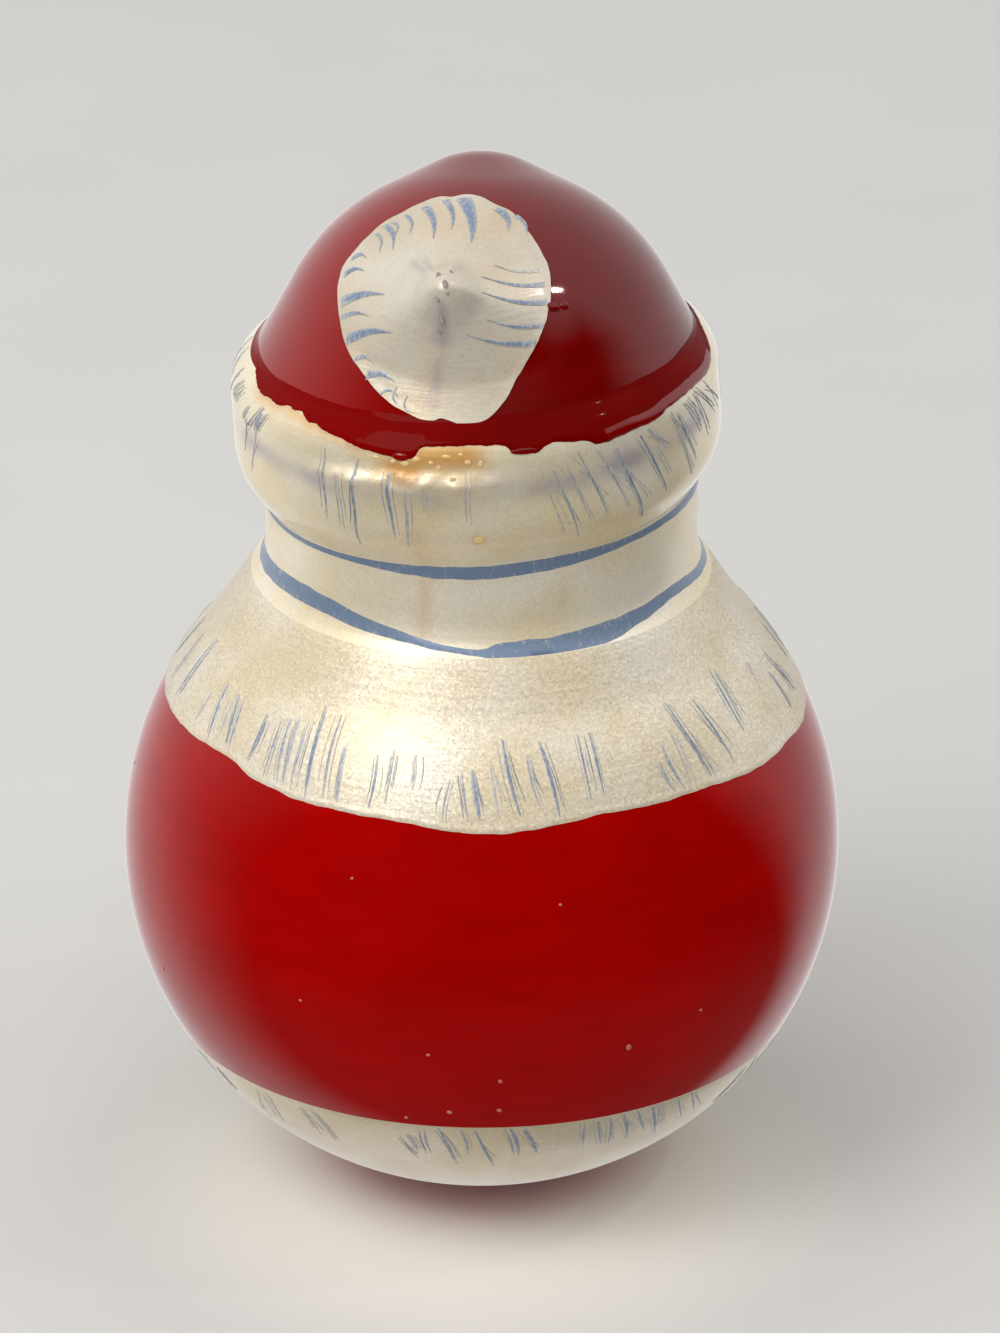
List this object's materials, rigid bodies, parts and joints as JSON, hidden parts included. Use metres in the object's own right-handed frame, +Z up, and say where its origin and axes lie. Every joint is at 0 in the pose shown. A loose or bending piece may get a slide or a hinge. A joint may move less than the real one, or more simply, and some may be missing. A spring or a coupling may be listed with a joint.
{
  "type": "roly-poly toy",
  "caption": "Turned wooden roly-poly figure: weighted round base, hollow body, head with a fur brim and a drooping hat, and inside a hanging clapper that rings chime rods.",
  "frame": {"origin": "on the floor, at the point where the round base touches it, on the body's axis", "axes": "+Z up along the body's axis, -Y towards the figure's front, +Y towards its back, which the picture shows"},
  "size_m": [0.085, 0.085, 0.1256],
  "materials": {
    "pearl_white": "pearl white lacquer with a metallic shimmer, brushed over turned lime wood",
    "coat_red": "deep red gloss lacquer over turned lime wood",
    "hat_red": "deep red gloss lacquer over carved lime wood",
    "line_blue": "steel-blue paint with a metallic shimmer, by brush",
    "bare_wood": "bare sanded wood",
    "cast_iron": "as cast",
    "steel": "drawn and plated",
    "brass": "turned"
  },
  "bodies": {
    "toy": {"base_cap": "pearl_white", "ballast": "cast_iron", "ballast_washer": "steel", "ballast_screw": "steel", "body_shell": "coat_red", "sound_board": "bare_wood", "chime_plate": "brass", "chime_bolt": "steel", "chime_nut": "steel", "chime_rod_1": "steel", "chime_rod_2": "steel", "chime_rod_3": "steel", "chime_rod_4": "steel", "chime_rod_5": "steel", "chime_rod_6": "steel", "head": "pearl_white", "screw_eye": "steel", "hat_dowel": "bare_wood", "hat": "hat_red"},
    "link": {"link_ring": "steel"},
    "clapper": {"clapper_wire": "steel", "clapper_ball": "brass"}
  },
  "joints": [
    {"name": "link_swing", "type": "hinge", "parent": "toy", "child": "link", "pos_m": [0, 0, 0.06058], "axis": [1, 0, 0], "range_deg": [-13, 13]},
    {"name": "clapper_swing", "type": "hinge", "parent": "link", "child": "clapper", "pos_m": [0, 0, 0.05609], "axis": [0, 1, 0], "range_deg": [-15, 15]}
  ]
}
